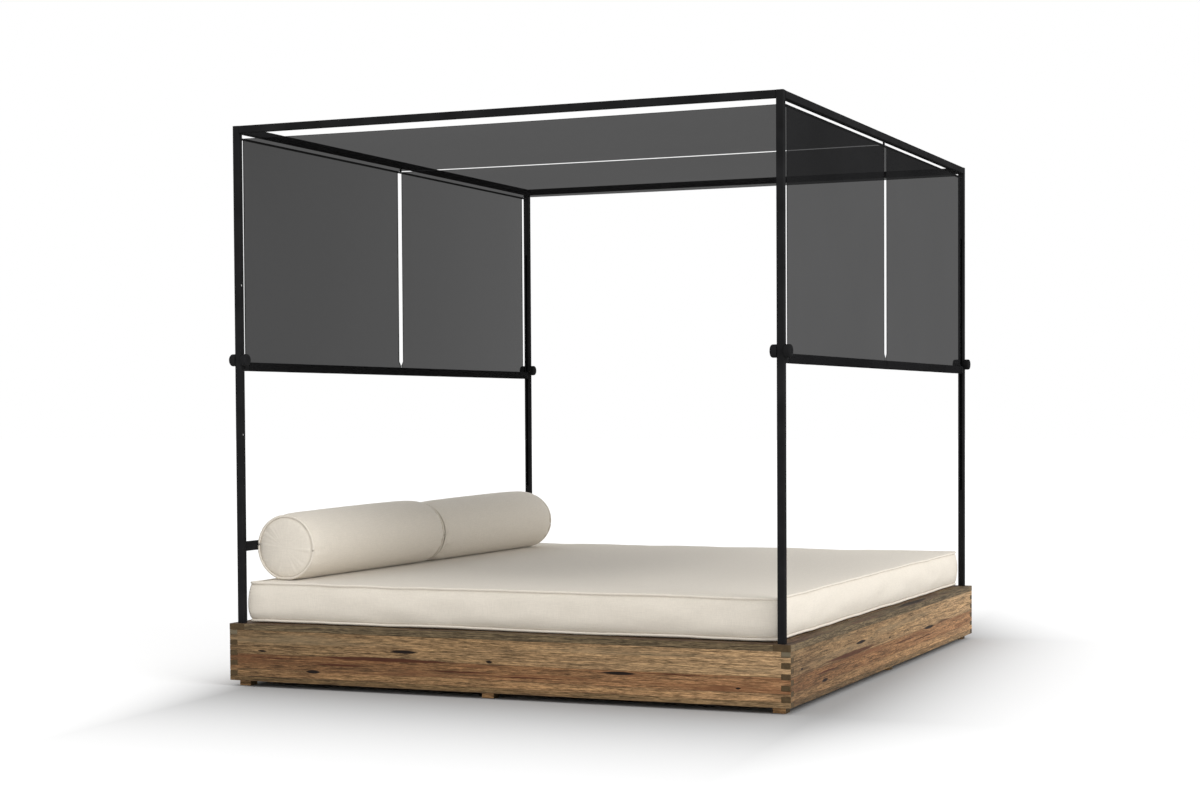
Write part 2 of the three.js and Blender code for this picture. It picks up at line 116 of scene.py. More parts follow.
class Finish:
    """A material whose nodes are added one call at a time."""

    def __init__(self, name, **sockets):
        self.material = bpy.data.materials.new(name)
        self.material.use_nodes = True
        self.tree = self.material.node_tree
        self.shader = self.tree.nodes["Principled BSDF"]
        self.output = self.tree.nodes["Material Output"]
        for socket, value in sockets.items():
            self.set(socket.replace("_", " "), value)

    def feed(self, socket, value):
        """Links another node's socket, or writes a constant."""
        if isinstance(value, bpy.types.NodeSocket):
            self.tree.links.new(value, socket)
        else:
            socket.default_value = value

    def set(self, socket, value):
        self.feed(self.shader.inputs[socket], value)

    def add(self, kind, inputs=(), output=0, **settings):
        node = self.tree.nodes.new(kind)
        for key, value in settings.items():
            setattr(node, key, value)
        for socket, value in dict(inputs).items():
            self.feed(node.inputs[socket], value)
        return node.outputs[output]

    def math(self, operation, a, b=0.0):
        return self.add("ShaderNodeMath", {0: a, 1: b}, operation=operation)

    def joined(self, operation, values):
        """One value from several by the same operation."""
        return reduce(lambda a, b: self.math(operation, a, b), values)

    def apart(self, a, b):
        return self.math("ABSOLUTE", self.math("SUBTRACT", a, b))

    def place(self):
        return self.add("ShaderNodeTexCoord", output="Object")

    def axis(self, number):
        return self.add("ShaderNodeSeparateXYZ", {0: self.place()}, output=number)

    def facing(self, number):
        """One part of the surface's outward direction."""
        normal = self.add("ShaderNodeNewGeometry", output="Normal")
        return self.add("ShaderNodeSeparateXYZ", {0: normal}, output=number)

    def scaled(self, *scale):
        """Place on the object times one number, or times one for each axis."""
        scales = scale if len(scale) == 3 else scale * 3
        return self.add("ShaderNodeMapping", {"Vector": self.place(), "Scale": scales})

    def noise(self, vector, detail=3.0, roughness=0.5, distortion=0.0):
        return self.add("ShaderNodeTexNoise", {
            "Vector": vector, "Scale": 1.0, "Detail": detail, "Roughness": roughness,
            "Distortion": distortion})

    def threads(self, pitch):
        """Waves of a weave, one along each axis."""
        waves = [self.math("SINE", self.math("MULTIPLY", self.axis(number), 2 * math.pi / pitch))
                 for number in range(3)]
        return self.joined("ADD", waves)

    def ramp(self, factor, stops):
        node = self.tree.nodes.new("ShaderNodeValToRGB")
        elements = node.color_ramp.elements
        while len(elements) < len(stops):
            elements.new(0.5)
        for element, (position, color) in zip(elements, stops):
            element.position = position
            element.color = rgba(color)
        self.tree.links.new(factor, node.inputs[0])
        return node.outputs[0]

    def fade(self, value, near, far, full=1.0):
        """full up to near, and from there down to 0 at far."""
        return self.add("ShaderNodeMapRange", {"Value": value, "From Min": near, "From Max": far,
                                               "To Min": full, "To Max": 0.0})

    def mix(self, factor, a, b, blend="MIX"):
        inputs = dict(zip(MIX_INPUTS, (factor, rgba(a), rgba(b))))
        return self.add("ShaderNodeMix", inputs, MIX_RESULT, data_type="RGBA", blend_type=blend)

    def times(self, a, b):
        return self.mix(1.0, a, b, "MULTIPLY")

    def bump(self, height, strength, distance):
        return self.add("ShaderNodeBump", {"Height": height, "Strength": strength, "Distance": distance})


# Timber: colours are linear, heights and lengths in metres

END_GRAIN = (0.068, 0.045, 0.022)
PALE_END = (0.140, 0.114, 0.074)
GUM = (0.012, 0.007, 0.005)
RESIN = (0.055, 0.016, 0.008)
RED_WOOD = (0.150, 0.062, 0.028)
WEATHERED = (0.215, 0.165, 0.098)
GLUE_LINE = (0.070, 0.040, 0.022)
CAP_TINT = (0.126, 0.091, 0.051)
CAP_TOP = (0.105, 0.062, 0.038)
INNER_TINT = (0.300, 0.200, 0.120)
TIMBER_SPECULAR = 0.12

# Staves of a plinth board from the floor up: top height and colour
STAVES = (
    (0.039, (0.165, 0.104, 0.050)),
    (0.066, (0.275, 0.160, 0.075)),
    (0.1185, (0.232, 0.120, 0.054)),
    (1.0, (0.275, 0.172, 0.085)),
)
STAVE_SHIFT = 5.3
JOINT_EDGES = (0.0004, 0.0022)
JOINT_SHARE = 0.45

# Grain, coarse to fine: scales along and across it, the noise's settings and the tone at each level
GRAIN_LAYERS = (
    ((1.7, 42), {"detail": 5, "roughness": 0.6, "distortion": 1.3},
     ((0.34, (0.72, 0.73, 0.75)), (0.50, 1.0), (0.66, (1.20, 1.19, 1.15)))),
    ((12.0, 230), {"detail": 4, "roughness": 0.75, "distortion": 0.4},
     ((0.38, 0.38), (0.50, 1.0), (0.61, 1.45))),
    ((40, 520), {"detail": 3, "roughness": 0.7},
     ((0.36, 0.50), (0.52, 1.0), (0.64, 1.38))),
)
GRAIN_ROUGHNESS = 0.58
GRAIN_ROUGHNESS_SPREAD = 0.25
GRAIN_BUMP = (0.45, 0.0008)
HOLLOW_DEPTH = 2.5

# Drying cracks: scales, shift from the grain, distance from the noise's middle, strength and tone
CRACK_SCALES = (2.6, 95)
CRACK_SHIFT = 2.0
CRACK_EDGES = (0.003, 0.016)
CRACK_SHARE = 0.42
CRACK_TONE = 0.28

# Sawn ends: share of the outward direction along the grain, rings, and the pale band under the capping
FACING_SHARE = 0.7
END_RINGS = 110
END_TONES = (0.5, 1.6)
PALE_BAND = ((0.180, 0), (0.190, 1), (0.2018, 1), (0.2024, 0))

# Painted light: each board lighter and bluer from one end to the other, as on the front board toward its
# lit right end
PAINTED_LIGHT_SLOPE = 0.45
PAINTED_LIGHT_STOPS = ((0.0, 0.64), (0.5, 0.93), (1.0, (1.32, 1.36, 1.44)))

# Red bands in the lower staves and weathering in the upper one: scales, levels and heights
BLUSH_SCALES = (2.2, 30)
BLUSH_STOPS = ((0.50, 0), (0.66, 0.9))
BLUSH_HEIGHTS = ((0.060, 0.2), (0.068, 0.9), (0.114, 0.9), (0.122, 0.12))
WEATHER_SCALES = (0.9, 22)
WEATHER_SHIFT = 31.0
WEATHER_STOPS = ((0.48, 0), (0.66, 0.55))
WEATHER_HEIGHTS = ((0.120, 0.1), (0.170, 1.0))

# Blotches on the upper face of a capping
BLOTCH_SCALES = (3.0, 20)
BLOTCH_SHIFT = 7.0
BLOTCH_STOPS = ((0.42, 0), (0.58, 1))
CAP_TOP_SHIFT = 3.0

# Marks are lens shaped and stray from their line: waves along the grain and reach
LENS_POWER = 1.6
LENS_EDGES = (0.75, 1.25)
STAVE_STRAY = (1.2, 0.006)
MARK_STRAY = (9, 0.010)
RESIN_STRAY_SHARE = 0.6
GUM_STRAY_SHARE = 0.4
RESIN_SHARE = 0.88

# Gum pockets and resin streaks on a board: distance from its middle, height, length and thickness
POCKETS = (
    (-0.346, 0.148, 0.104, 0.0120), (-0.708, 0.064, 0.056, 0.0125), (-0.916, 0.130, 0.034, 0.0070),
    (-0.020, 0.127, 0.026, 0.0085), (0.456, 0.109, 0.120, 0.0115), (0.872, 0.078, 0.018, 0.0065),
)
SIDE_POCKETS = (
    (-0.442, 0.154, 0.120, 0.0110), (0.514, 0.116, 0.150, 0.0115), (-0.872, 0.070, 0.066, 0.0110),
    (-1.123, 0.135, 0.022, 0.0070), (-0.060, 0.132, 0.024, 0.0070),
)
RESIN_STREAKS = (
    (-0.425, 0.1185, 0.52, 0.0140), (-0.600, 0.092, 0.20, 0.0070), (-0.120, 0.088, 0.26, 0.0050),
    (0.130, 0.079, 0.30, 0.0045), (0.640, 0.113, 0.26, 0.0045), (-0.860, 0.106, 0.18, 0.0045),
)
SIDE_STREAKS = (
    (-0.550, 0.126, 0.60, 0.0150), (0.150, 0.100, 0.30, 0.0060), (-0.860, 0.098, 0.24, 0.0060),
    (0.760, 0.121, 0.24, 0.0050), (0.420, 0.086, 0.30, 0.0045),
)

# Dark streak on the right ledge: distance from its middle, distance across, length and width
LEDGE_STREAK = (0.370, 1.020, 0.42, 0.0300)

# Where each piece's grain starts in the noise
BOARD_SEED = 11.0
BOARD_SEED_STEP = 7
CAP_SEED = 53.0
CAP_SEED_STEP = 9
FOOT_SEED = 71.0
DECK_SEED = 91.0
BEARER_SEED = 97.0


class Timber(Finish):
    """Sawn outdoor timber with its grain along the first or second axis of the frame."""

    def __init__(self, name, along, seed):
        super().__init__(name, Specular_IOR_Level=TIMBER_SPECULAR)
        self.along = along
        self.run = self.axis(along)
        self.depth = self.axis(1 - along)
        self.height = self.axis(2)
        self.seed = seed

    def grain(self, along_scale, across_scale, shift=0.0):
        run = self.math("ADD", self.math("MULTIPLY", self.run, along_scale), self.seed)
        return self.add("ShaderNodeCombineXYZ", {
            0: self.math("ADD", run, shift),
            1: self.math("MULTIPLY", self.height, across_scale),
            2: self.math("MULTIPLY", self.depth, across_scale)})

    def stray(self, scale, reach):
        """Distance that a line along the grain wanders to either side."""
        off = self.math("SUBTRACT", self.noise(self.grain(scale, 0.0)), 0.5)
        return self.math("MULTIPLY", off, reach)

    def spot(self, centre, level, length, thickness, stray, across=None):
        """1 inside a long lens shaped mark, 0 outside it; across is the height unless given."""
        x = self.math("DIVIDE", self.math("SUBTRACT", self.run, centre), length / 2)
        off = self.math("ADD", self.math("SUBTRACT", across or self.height, level), stray)
        z = self.math("DIVIDE", off, thickness / 2)
        powers = [self.math("POWER", self.math("ABSOLUTE", share), LENS_POWER) for share in (x, z)]
        return self.fade(self.math("ADD", *powers), *LENS_EDGES)

    def marks(self, spots, turned, stray):
        """1 inside any of several marks."""
        return self.joined("MAXIMUM", [
            self.spot(turned * centre, level, length, thickness, stray)
            for centre, level, length, thickness in spots])

    def figure(self, shift):
        """Grain tone around 1 from bands, streaks and fibres, with fine drying cracks."""
        layers = []
        for scales, look, stops in GRAIN_LAYERS:
            self.fibres = self.noise(self.grain(*scales, shift), **look)
            layers.append(self.ramp(self.fibres, stops))
        tone = reduce(self.times, layers)
        checks = self.noise(self.grain(*CRACK_SCALES, self.math("ADD", shift, CRACK_SHIFT)))
        crack = self.fade(self.apart(checks, 0.5), *CRACK_EDGES, CRACK_SHARE)
        return self.mix(crack, tone, CRACK_TONE)

    def ends(self, color):
        """Sawn ends across the grain are darker and olive."""
        end = self.math("GREATER_THAN", self.math("ABSOLUTE", self.facing(self.along)), FACING_SHARE)
        rings = self.noise(self.scaled(END_RINGS), roughness=0.6)
        dark = self.mix(rings, *(shaded(END_GRAIN, tone) for tone in END_TONES))
        pale = self.ramp(self.height, PALE_BAND)
        return self.mix(end, color, self.mix(pale, dark, PALE_END))

    def finish(self, color, hollow=None):
        self.set("Base Color", self.ends(color))
        spread = self.math("MULTIPLY", self.fibres, GRAIN_ROUGHNESS_SPREAD)
        self.set("Roughness", self.math("ADD", spread, GRAIN_ROUGHNESS))
        relief = self.fibres
        if hollow is not None:
            relief = self.math("SUBTRACT", relief, self.math("MULTIPLY", hollow, HOLLOW_DEPTH))
        self.set("Normal", self.bump(relief, *GRAIN_BUMP))
        return self.material


def board_timber(name, along, seed, turned, pockets, streaks):
    """Plinth board laminated from four staves, with its gum pockets."""
    f = Timber(name, along, seed)
    height = f.math("ADD", f.height, f.stray(*STAVE_STRAY))
    color = STAVES[0][1]
    joints = []
    shifts = []
    for (top, _), (_, above) in zip(STAVES, STAVES[1:]):
        step = f.math("GREATER_THAN", height, top)
        color = f.mix(step, color, above)
        joints.append(f.fade(f.apart(height, top), *JOINT_EDGES, JOINT_SHARE))
        shifts.append(f.math("MULTIPLY", step, STAVE_SHIFT))
    shift = f.joined("ADD", shifts)
    color = f.times(color, f.figure(shift))
    # Painted light: the board's colour brightens and cools toward one end, where light falls
    run = f.math("ADD", f.math("MULTIPLY", f.run, turned * PAINTED_LIGHT_SLOPE), 0.5)
    color = f.times(color, f.ramp(run, PAINTED_LIGHT_STOPS))
    blush = f.noise(f.grain(*BLUSH_SCALES, shift), detail=4, roughness=0.6, distortion=0.8)
    red = f.math("MULTIPLY", f.ramp(blush, BLUSH_STOPS), f.ramp(f.height, BLUSH_HEIGHTS))
    color = f.mix(red, color, RED_WOOD)
    weather = f.noise(f.grain(*WEATHER_SCALES, WEATHER_SHIFT))
    weathered = f.math("MULTIPLY", f.ramp(weather, WEATHER_STOPS), f.ramp(f.height, WEATHER_HEIGHTS))
    color = f.mix(weathered, color, WEATHERED)
    color = f.mix(f.joined("MAXIMUM", joints), color, GLUE_LINE)
    stray = f.stray(*MARK_STRAY)
    resin = f.marks(streaks, turned, f.math("MULTIPLY", stray, RESIN_STRAY_SHARE))
    color = f.mix(f.math("MULTIPLY", resin, RESIN_SHARE), color, RESIN)
    gum = f.marks(pockets, turned, f.math("MULTIPLY", stray, GUM_STRAY_SHARE))
    color = f.mix(gum, color, GUM)
    return f.finish(color, gum)


def plain_timber(name, along, seed, tint, top=None, streak=None):
    """Single sawn length; its upper face takes a second tint and may have a dark streak."""
    f = Timber(name, along, seed)
    color = f.times(tint, f.figure(0.0))
    if top is not None:
        blotches = f.noise(f.grain(*BLOTCH_SCALES, BLOTCH_SHIFT), detail=4, roughness=0.6, distortion=0.6)
        red = f.mix(f.ramp(blotches, BLOTCH_STOPS), tint, top)
        upward = f.math("GREATER_THAN", f.facing(2), FACING_SHARE)
        color = f.mix(upward, color, f.times(red, f.figure(CAP_TOP_SHIFT)))
        if streak is not None:
            color = f.mix(f.spot(*streak, f.stray(*MARK_STRAY), f.depth), color, GUM)
    return f.finish(color)


# Fabrics and coatings: scales a metre, tones as shares of the colour, bumps as strength and depth

COVER = (0.700, 0.645, 0.560)
CANVAS_PITCH = 0.0016
CANVAS_THREAD_SHARE = 0.10
SLUB_LONG = 30
SLUB_FINE = 520
SLUB_SHARE = 1.5
SLUB_TONES = ((0.38, 0.90), (0.62, 1.05))
CANVAS_CLOUDS = 5
CANVAS_CLOUD_SHARE = 0.10
CANVAS_CLOUD_TONE = 0.82
CANVAS_BUMP = (0.45, 0.0006)

SHADE = (0.011, 0.011, 0.0115)
SCREEN_PITCH = 0.0022
SCREEN_CLOUDS = 2.2
SCREEN_TONES = ((0.3, 0.85), (0.7, 1.15))
SCREEN_BUMP = (0.25, 0.0003)

# Share of the view that each side's cloth covers, and how much less that is a metre further back. The same
# screen hangs on both sides: the left cloth's extra cover is painted shade, and its lessening toward the
# rear is painted light
SCREEN_COVER = {"left": (0.921, 0.012), "right": (0.912, 0.0)}

COAT = (0.0135, 0.0135, 0.0140)
COAT_SPECULAR = 0.005
COAT_CLOUDS = 9
COAT_TONES = ((0.3, 0.8), (0.7, 1.3))
COAT_BUMP = (0.18, 0.0002)


def toned(color, tones):
    """Ramp stops with the colour at a share for each."""
    return [(position, shaded(color, share)) for position, share in tones]


def cover_fabric():
    """Woven outdoor canvas with slubs along each axis."""
    f = Finish("cushion_canvas", Specular_IOR_Level=0.15, Sheen_Weight=0.12, Sheen_Roughness=0.5,
               Roughness=0.92)
    slubs = []
    for axis in range(3):
        scale = [SLUB_FINE] * 3
        scale[axis] = SLUB_LONG
        slubs.append(f.noise(f.scaled(*scale), roughness=0.6))
    slub = f.math("DIVIDE", f.joined("ADD", slubs), 3.0)
    clouds = f.math("MULTIPLY", f.noise(f.scaled(CANVAS_CLOUDS)), CANVAS_CLOUD_SHARE)
    color = f.ramp(slub, toned(COVER, SLUB_TONES))
    f.set("Base Color", f.mix(clouds, color, shaded(COVER, CANVAS_CLOUD_TONE)))
    threads = f.math("MULTIPLY", f.threads(CANVAS_PITCH), CANVAS_THREAD_SHARE)
    height = f.math("ADD", threads, f.math("MULTIPLY", slub, SLUB_SHARE))
    f.set("Normal", f.bump(height, *CANVAS_BUMP))
    return f.material


def shade_fabric(name, cover, painted_light_slope):
    """Coated open screen cloth that covers a share of the view, less of it toward the rear as painted
    light.
    """
    f = Finish(name, Specular_IOR_Level=0.0, Roughness=0.9, Alpha=cover)
    if painted_light_slope:
        # Painted light: the cloth lets more of the white behind it through toward the rear
        f.set("Alpha", f.math("SUBTRACT", cover, f.math("MULTIPLY", f.axis(1), painted_light_slope)))
    f.set("Base Color", f.ramp(f.noise(f.scaled(SCREEN_CLOUDS)), toned(SHADE, SCREEN_TONES)))
    f.set("Normal", f.bump(f.threads(SCREEN_PITCH), *SCREEN_BUMP))
    return f.material


def coat_finish(name, low, high, grain):
    """Black powder coat or moulded plastic with a fine grained skin."""
    f = Finish(name, Specular_IOR_Level=COAT_SPECULAR)
    fine = f.noise(f.scaled(grain), detail=2, roughness=0.6)
    broad = f.noise(f.scaled(COAT_CLOUDS))
    f.set("Base Color", f.ramp(broad, toned(COAT, COAT_TONES)))
    f.set("Roughness", f.ramp(broad, ((0.3, low), (0.7, high))))
    f.set("Normal", f.bump(fine, *COAT_BUMP))
    return f.material


# Rigid pieces of the frame

WELD_REACH = 0.00005
EASED_EDGE = 0.0012
EASED_ANGLE = 40


def finish_cad_nodes():
    """Materials and eased edges for the rigid pieces."""
    for index, (name, turned) in enumerate((("front", 1), ("rear", -1), ("left", -1), ("right", 1))):
        along = 0 if name in ("front", "rear") else 1
        marks = (POCKETS, RESIN_STREAKS) if along == 0 else (SIDE_POCKETS, SIDE_STREAKS)
        seed = BOARD_SEED + BOARD_SEED_STEP * index
        board = board_timber(f"timber_{name}", along, seed, turned, *marks)
        nodes[f"plinth_board_{name}"].data.materials[0] = board
        streak = LEDGE_STREAK if name == "right" else None
        seed = CAP_SEED + CAP_SEED_STEP * index
        cap = plain_timber(f"timber_cap_{name}", along, seed, CAP_TINT, CAP_TOP, streak)
        nodes[f"capping_{name}"].data.materials[0] = cap
    finishes = {
        ("post_", "top_rail_", "backrest_", "rod_", "bar_"):
            coat_finish("frame_powder_coat", low=0.70, high=0.84, grain=1400),
        ("deck_board_",): plain_timber("inner_timber_across", 0, DECK_SEED, INNER_TINT),
        ("bearer_", "centre_beam"): plain_timber("inner_timber_deep", 1, BEARER_SEED, INNER_TINT),
        ("foot_",): plain_timber("timber_foot", 0, FOOT_SEED, STAVES[1][1]),
    }
    for name, obj in nodes.items():
        for prefixes, finish in finishes.items():
            if name.startswith(prefixes):
                obj.data.materials[0] = finish
        if name.startswith(("plinth_board_", "capping_", "foot_", "deck_board_", "bearer_", "centre_beam")):
            ease_edges(obj)


def ease_edges(obj):
    weld = obj.modifiers.new("weld", "WELD")
    weld.merge_threshold = WELD_REACH
    bevel = obj.modifiers.new("eased_edges", "BEVEL")
    bevel.width = EASED_EDGE
    bevel.segments = 2
    bevel.limit_method = "ANGLE"
    bevel.angle_limit = math.radians(EASED_ANGLE)


# Meshes

PIPING_RADIUS = 0.0045
PIPING_SIDES = 10


def make_object(name, vertices, faces, material):
    mesh = bpy.data.meshes.new(name)
    mesh.from_pydata(vertices, [], faces)
    mesh.validate()
    if material is not None:
        mesh.materials.append(material)
    mesh.shade_smooth()
    obj = bpy.data.objects.new(name, mesh)
    collection.objects.link(obj)
    return obj


def ring_faces(rings, count, closed=False, flip=False):
    """Quads between rings of count points each; closed joins the last ring to the first."""
    faces = []
    for r in range(rings if closed else rings - 1):
        a = r * count
        b = (r + 1) % rings * count
        for k in range(count):
            j = (k + 1) % count
            faces.append((a + k, b + k, b + j, a + j) if flip else (a + k, a + j, b + j, b + k))
    return faces


def piping_along(points):
    """Vertices and faces of a round bead through a closed loop of points."""
    vertices = []
    for i, point in enumerate(points):
        direction = (points[(i + 1) % len(points)] - points[i - 1]).normalized()
        across = direction.cross(Vector((0, 0, 1)))
        if across.length < 0.1:
            across = direction.cross(Vector((1, 0, 0)))
        across.normalize()
        up = across.cross(direction)
        for k in range(PIPING_SIDES):
            angle = 2 * math.pi * k / PIPING_SIDES
            vertices.append(point + PIPING_RADIUS * (math.cos(angle) * across + math.sin(angle) * up))
    return vertices, ring_faces(len(points), PIPING_SIDES, closed=True, flip=True)


def merged(parts):
    """One vertex and face list from several."""
    vertices, faces = [], []
    for part_vertices, part_faces in parts:
        start = len(vertices)
        vertices.extend(part_vertices)
        faces.extend(tuple(start + i for i in face) for face in part_faces)
    return vertices, faces


def wander(position, scale, seed):
    return noise.noise(Vector((position * scale, seed, 0.37 * seed)))


def middle_of(name):
    low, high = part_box(name)
    return (low + high) / 2


# Mattress: heights above its underside, insets from its outline

SEAM_LOW = 0.009
SEAM_HIGH = 0.142
SEAM_GROOVE = 0.0085
BEAD_SUNK = 0.0008
MATTRESS_CORNER = 0.010
MATTRESS_BELLY = 0.0035
SIDE_DRAW = 0.0035
COLUMN_STEP = 0.012
CORNER_COLUMNS = 9

# Wandering of a seam, up and inward: reach, waves a metre and seed of each layer
RISE_WAVES = ((0.0034, 3.1, 0), (0.0014, 9.0, 5))
PUSH_WAVES = ((0.0052, 4.2, 1), (0.0014, 13.0, 4))
SEAM_SEEDS = (1.0, 6.0)

# Within their reach the corners hold their place, stand a little fuller and pucker more
CORNER_REACH = 0.05
CORNER_HOLD = 0.8
CORNER_FULLNESS = 0.0010
CORNER_PUCKER = 2.5
PUCKER_DEPTH = 0.0011
PUCKER_WAVES = 38.0
PUCKER_SEED = 4.0
PUCKER_TURN = 3
LUMP_WAVES = (6.5, 16)
LUMP_SEED = 5.1

# Rows of the underside: inset past the groove, height, share of the seam's wandering and puckers
UNDER_ROWS = ((0.060, 0.0005, 0.0, 0.0), (0.016, 0.0005, 0.3, 0.0), (0.004, 0.0035, 1.0, 0.5))

# Sides: a belly between the seams, folded in over the lower one
SIDE_ROWS = 22
BULGE_POWER = 0.6
SIDE_LUMPS = 0.0050
LOWER_FOLD = 0.004
LOWER_FOLD_SHARE = 0.05
SEAM_PUCKER = 1.3
SEAM_PUCKER_FALL = 7

# Top: insets of its first rows past the groove, then the step between rows up to the plain middle
TOP_INSETS = (0.004, 0.010, 0.018, 0.028, 0.040, 0.054)
TOP_STEP = 0.018
TOP_PLAIN = 0.12
EDGE_ROLL = 0.0025
EDGE_ROLL_REACH = 0.006
MATTRESS_CROWN = 0.006
CROWN_REACH = 0.045
SEAM_FOLLOW_REACH = 0.05
TOP_PUCKER_REACH = 0.02
UNEVEN_DEPTH = 0.0016
UNEVEN_WAVES = 1.7
UNEVEN_SEED = 3.1
CREASE_DEPTH = 0.0012
CREASE_WAVES = 15.0
CREASE_SEED = 9.0
CREASE_REACH = 0.09


def rounded_loop(half_x, half_y, corner, samples):
    """Points of a rectangle with round corners at given shares of its corners and edges."""
    def corner_centre(quarter):
        return ((half_x - corner) * (1 if quarter in (0, 3) else -1),
                (half_y - corner) * (1 if quarter in (0, 1) else -1))

    loop = []
    for kind, quarter, share in samples:
        cx, cy = corner_centre(quarter)
        angle = (quarter + share) * math.pi / 2
        if kind == "edge":
            nx, ny = corner_centre((quarter + 1) % 4)
            cx += (nx - cx) * share
            cy += (ny - cy) * share
            angle = (quarter + 1) * math.pi / 2
        loop.append((cx + corner * math.cos(angle), cy + corner * math.sin(angle)))
    return loop


def loop_samples(half_x, half_y, corner):
    samples = []
    for quarter in range(4):
        for i in range(CORNER_COLUMNS + 1):
            samples.append(("corner", quarter, i / CORNER_COLUMNS))
        length = 2 * ((half_x if quarter in (0, 2) else half_y) - corner)
        count = round(length / COLUMN_STEP)
        for i in range(1, count):
            samples.append(("edge", quarter, i / count))
    return samples


def normal_of(points, i):
    """Outward direction in plan at point i of a loop that runs anticlockwise."""
    ax, ay = points[i - 1][0], points[i - 1][1]
    bx, by = points[(i + 1) % len(points)][0], points[(i + 1) % len(points)][1]
    length = math.hypot(bx - ax, by - ay) or 1.0
    return ((by - ay) / length, (ax - bx) / length)


def within(value, limit):
    return max(-limit, min(limit, value))


def build_mattress(fabric):
    low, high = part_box("mattress")
    half_x, half_y = (high.x - low.x) / 2, (high.y - low.y) / 2
    samples = loop_samples(half_x, half_y, MATTRESS_CORNER)
    outline = rounded_loop(half_x, half_y, MATTRESS_CORNER, samples)
    arc = [0.0]
    for a, b in zip(outline, outline[1:]):
        arc.append(arc[-1] + math.dist(a, b))
    rows = []

    def ring(margin):
        corner = MATTRESS_CORNER * MATTRESS_CORNER / (MATTRESS_CORNER + max(margin, 0.0))
        return rounded_loop(half_x - margin, half_y - margin, corner, samples)

    def seam_shift(i, layers, shares):
        """How far point i goes along with the wandering of the lower and the upper seam."""
        return sum(share * reach * wander(arc[i], waves, seam_seed + seed)
                   for share, seam_seed in zip(shares, SEAM_SEEDS)
                   for reach, waves, seed in layers)

    def near_corner(i):
        kind, quarter, share = samples[i]
        length = 2 * (half_x if quarter in (0, 2) else half_y)
        return 1.0 if kind == "corner" else math.exp(-min(share, 1 - share) * length / CORNER_REACH)

    def drawn_in(i):
        """Sides pull in between the corners."""
        kind, _, share = samples[i]
        return SIDE_DRAW * math.sin(math.pi * share) if kind == "edge" else 0.0

    def moved(points, i, outward, height, inset=0.0):
        """Point i of a loop moved outward, but kept an inset inside the belly's reach."""
        nx, ny = normal_of(points, i)
        x = within(points[i][0] + nx * outward, half_x + MATTRESS_BELLY - inset)
        y = within(points[i][1] + ny * outward, half_y + MATTRESS_BELLY - inset)
        return Vector((x, y, height))

    def add_row(margin, height, shares, pucker=0.0, lumps=0.0):
        """A ring of points that follows the wandering of both seams by shares."""
        points = ring(margin)
        row = []
        for i in range(len(points)):
            near = near_corner(i)
            push = seam_shift(i, PUSH_WAVES, shares)
            inward = drawn_in(i) + push * (1 - CORNER_HOLD * near) - CORNER_FULLNESS * near
            tight = PUCKER_DEPTH * (1 + CORNER_PUCKER * near)
            inward -= pucker * tight * wander(arc[i], PUCKER_WAVES, PUCKER_SEED + PUCKER_TURN * height)
            along, up = arc[i] * LUMP_WAVES[0], height * LUMP_WAVES[1]
            inward -= lumps * noise.noise(Vector((along, up, LUMP_SEED)))
            row.append(moved(points, i, -inward, low.z + height + seam_shift(i, RISE_WAVES, shares)))
        rows.append(row)
        return row

    for inset, height, share, pucker in UNDER_ROWS:
        add_row(SEAM_GROOVE + inset, height, (share, 0.0), pucker)
    seam_low = add_row(SEAM_GROOVE, SEAM_LOW, (1.0, 0.0))
    for r in range(1, SIDE_ROWS):
        share = 0.5 - 0.5 * math.cos(math.pi * r / SIDE_ROWS)
        bulge = math.sin(math.pi * share) ** BULGE_POWER
        fold = LOWER_FOLD * math.exp(-share / LOWER_FOLD_SHARE)
        margin = SEAM_GROOVE * (1 - bulge) - MATTRESS_BELLY * bulge + fold
        pucker = SEAM_PUCKER * math.exp(-min(share, 1 - share) * SEAM_PUCKER_FALL)
        height = SEAM_LOW + (SEAM_HIGH - SEAM_LOW) * share
        add_row(margin, height, (1 - share, share), pucker, SIDE_LUMPS * bulge)
    seam_high = add_row(SEAM_GROOVE, SEAM_HIGH, (0.0, 1.0))
    insets = list(TOP_INSETS)
    while insets[-1] < half_x - TOP_PLAIN:
        insets.append(insets[-1] + TOP_STEP)
    for inset in insets:
        crown = 1 - math.exp(-inset / CROWN_REACH)
        roll = 1 - math.exp(-inset / EDGE_ROLL_REACH)
        height = SEAM_HIGH + EDGE_ROLL * roll + MATTRESS_CROWN * crown
        follow = math.exp(-inset / SEAM_FOLLOW_REACH)
        pucker = SEAM_PUCKER * math.exp(-inset / TOP_PUCKER_REACH)
        for i, point in enumerate(add_row(SEAM_GROOVE + inset, height, (0.0, follow), pucker)):
            place = Vector((point.x * UNEVEN_WAVES, point.y * UNEVEN_WAVES, UNEVEN_SEED))
            crease = math.exp(-inset / CREASE_REACH) * wander(arc[i], CREASE_WAVES, CREASE_SEED)
            point.z += UNEVEN_DEPTH * noise.noise(place) * crown + CREASE_DEPTH * crease

    count = len(samples)
    last = (len(rows) - 1) * count
    faces = ring_faces(len(rows), count)
    faces.append(tuple(reversed(range(count))))
    faces.append(tuple(range(last, last + count)))
    mattress = make_object("mattress_cushion", [point for row in rows for point in row], faces, fabric)

    beads = []
    for row in (seam_low, seam_high):
        beads.append(piping_along([moved(row, i, PIPING_RADIUS - BEAD_SUNK, point.z, PIPING_RADIUS)
                                   for i, point in enumerate(row)]))
    piping = make_object("mattress_piping", *merged(beads), fabric)
    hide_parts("mattress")
    for piece in (mattress, piping):
        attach(piece, "mattress")


# Bolsters

